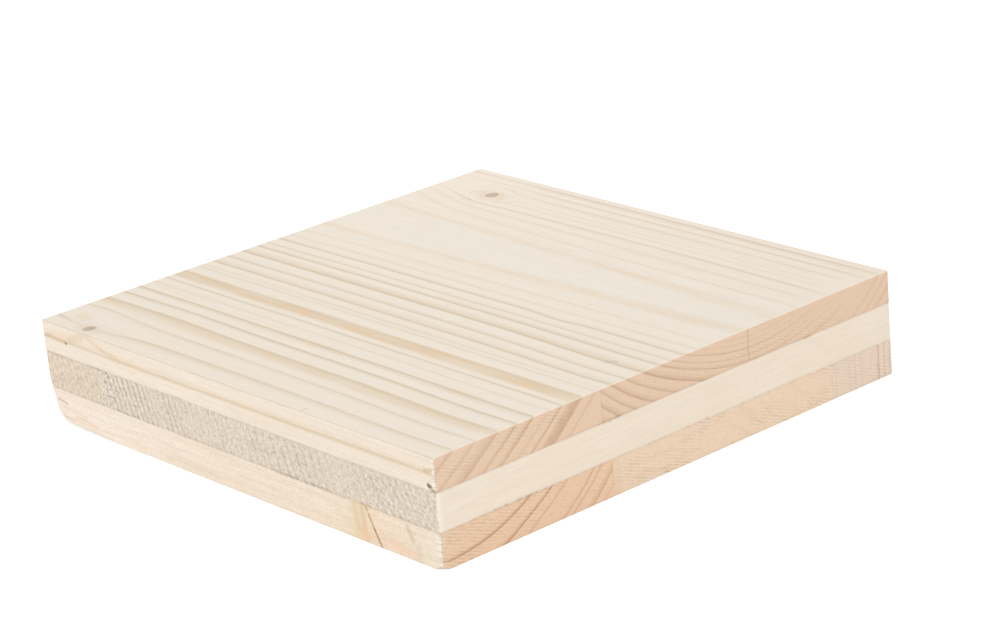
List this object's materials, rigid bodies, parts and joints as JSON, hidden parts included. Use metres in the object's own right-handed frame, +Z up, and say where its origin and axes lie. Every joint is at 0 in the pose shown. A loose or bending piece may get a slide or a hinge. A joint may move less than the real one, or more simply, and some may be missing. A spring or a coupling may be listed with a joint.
{
  "type": "three-ply solid wood panel",
  "caption": "Flat square-cut piece of solid wood panel: softwood boards glued edge to edge into plies, with the core ply crosswise between the two face plies.",
  "frame": {"origin": "centre of the underside, on the surface that the panel lies on", "axes": "+X along the grain of the two face plies, +Y across that grain, +Z up through the plies"},
  "size_m": [0.15, 0.147, 0.027],
  "materials": {
    "face_spruce": "planed and sanded, unfinished, pale straight grain",
    "core_spruce": "sawn, unfinished, end grain on the long sides",
    "back_spruce": "planed and sanded, unfinished"
  },
  "bodies": {
    "root": {"top_board_1": "face_spruce", "top_board_2": "face_spruce", "core_board_1": "core_spruce", "core_board_2": "core_spruce", "bottom_board_1": "back_spruce", "bottom_board_2": "back_spruce", "bottom_board_3": "back_spruce"}
  },
  "joints": []
}
